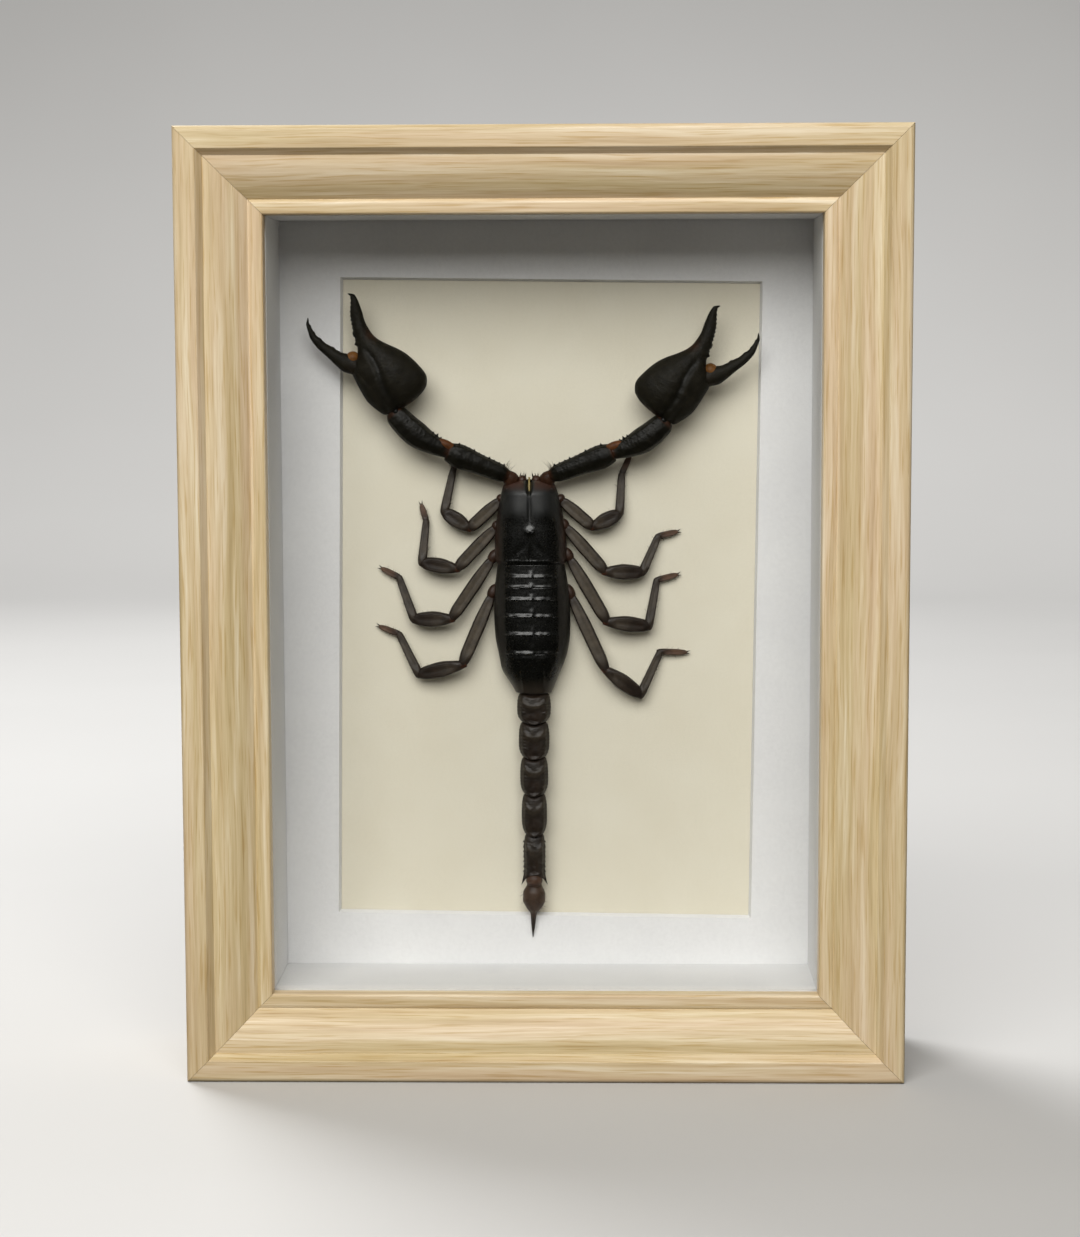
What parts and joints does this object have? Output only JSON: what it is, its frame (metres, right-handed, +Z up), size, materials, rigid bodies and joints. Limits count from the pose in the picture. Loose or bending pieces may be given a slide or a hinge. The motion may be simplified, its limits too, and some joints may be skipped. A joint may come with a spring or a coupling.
{
  "type": "framed scorpion specimen",
  "caption": "Deep wooden box frame with a glass front, white lining and mat, and a large black scorpion laid out on a cream card; stands on a shelf or hangs flat on a wall.",
  "frame": {"origin": "middle of the bottom face that the frame stands on", "axes": "+Z up the frame, +X to the viewer's right, the glass front faces -Y and the back +Y"},
  "size_m": [0.157, 0.044, 0.207],
  "materials": {
    "wood": "pale lacquered hardwood, satin",
    "glass": "clear, polished",
    "white_board": "matt white board",
    "cream_card": "matt cream card",
    "hardboard": "brown pressed board",
    "steel": "zinc plated",
    "black_shell": "glossy black chitin",
    "brown_shell": "dark brown chitin, satin"
  },
  "bodies": {
    "root": {"frame_bottom": "wood", "frame_right": "wood", "frame_top": "wood", "frame_left": "wood", "tab_bottom_1": "steel", "tab_right_1": "steel", "tab_right_2": "steel", "tab_top_1": "steel", "tab_left_1": "steel", "tab_left_2": "steel", "glass": "glass", "spacer_bottom": "white_board", "spacer_left": "white_board", "spacer_top": "white_board", "spacer_right": "white_board", "mat_board": "white_board", "backing_card": "cream_card", "back_board": "hardboard", "hanger": "steel", "hanger_nail_left": "steel", "hanger_nail_right": "steel", "carapace": "black_shell", "abdomen": "black_shell", "chelicera_left": "brown_shell", "chelicera_right": "brown_shell", "tail_segment_1": "brown_shell", "tail_segment_2": "brown_shell", "tail_segment_3": "brown_shell", "tail_segment_4": "brown_shell", "tail_segment_5": "brown_shell", "stinger": "brown_shell", "arm_femur_left": "black_shell", "arm_patella_left": "black_shell", "claw_hand_left": "black_shell", "claw_finger_left": "black_shell", "arm_femur_right": "black_shell", "arm_patella_right": "black_shell", "claw_hand_right": "black_shell", "claw_finger_right": "black_shell", "leg_left_1": "brown_shell", "leg_left_2": "brown_shell", "leg_left_3": "brown_shell", "leg_left_4": "brown_shell", "leg_right_1": "brown_shell", "leg_right_2": "brown_shell", "leg_right_3": "brown_shell", "leg_right_4": "brown_shell"}
  },
  "joints": []
}
